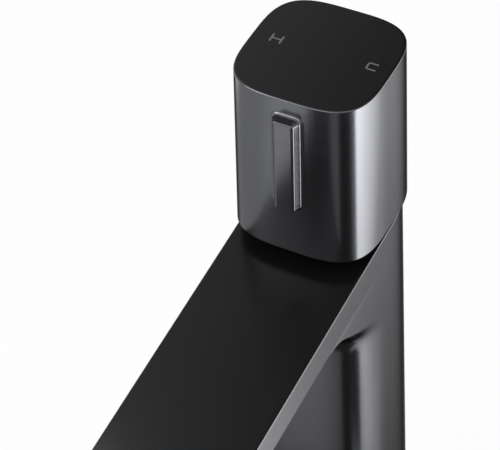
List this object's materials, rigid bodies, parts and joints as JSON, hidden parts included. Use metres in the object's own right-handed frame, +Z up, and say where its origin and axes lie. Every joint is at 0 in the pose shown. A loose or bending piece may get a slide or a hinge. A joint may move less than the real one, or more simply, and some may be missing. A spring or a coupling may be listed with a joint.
{
  "type": "basin mixer tap",
  "caption": "Deck-mounted basin mixer with a rounded-square column, a flat spout with a black inlay and a tall block handle that turns and lifts.",
  "frame": {"origin": "centre of the column's underside, on the deck, above the deck hole", "axes": "+X towards the user's right, -Y along the spout towards the user, +Z up along the handle's axis"},
  "size_m": [0.056, 0.173, 0.27],
  "materials": {
    "gunmetal": "satin gunmetal, finely brushed",
    "black_plate": "satin black inlay",
    "grey_mark": "matt grey print",
    "steel": "satin",
    "pale_plastic": "moulded",
    "black_nylon": "moulded",
    "brass": "machined",
    "ceramic": "lapped ceramic",
    "copper": "drawn tube",
    "rubber": "moulded"
  },
  "bodies": {
    "tap_body": {"body_casting": "gunmetal", "spout_top_plate": "black_plate", "aerator_housing": "steel", "aerator_insert": "pale_plastic", "aerator_seal": "rubber", "cartridge_shell": "brass", "fixed_disc": "ceramic", "port_seals": "rubber", "shell_seals": "rubber", "retaining_nut": "brass", "guide_collar": "black_nylon", "hot_riser": "copper", "cold_riser": "copper", "riser_seals": "rubber", "inlet_block": "brass", "lock_ring": "steel", "base_gasket": "rubber", "mounting_stud": "steel"},
    "turn_carrier": {"mixing_disc": "ceramic", "disc_driver": "pale_plastic", "stem_seal": "rubber", "turn_ring": "black_nylon"},
    "handle": {"handle_shell": "gunmetal", "handle_top_plate": "black_plate", "direction_marks": "grey_mark", "handle_adapter": "pale_plastic", "handle_screw": "steel", "valve_stem": "brass", "valve_seal": "rubber"},
    "deck_clamp": {"rubber_washer": "rubber", "steel_washer": "steel", "clamp_nut": "steel"}
  },
  "joints": [
    {"name": "handle_turn", "type": "hinge", "parent": "tap_body", "child": "turn_carrier", "pos_m": [0, 0, 0.175], "axis": [0, 0, 1], "range_deg": [-45, 45]},
    {"name": "handle_lift", "type": "slide", "parent": "turn_carrier", "child": "handle", "axis": [0, 0, 1], "range_m": [0, 0.01]},
    {"name": "clamp_travel", "type": "slide", "parent": "tap_body", "child": "deck_clamp", "axis": [0, 0, 1], "range_m": [-0.014, 0.026]}
  ]
}
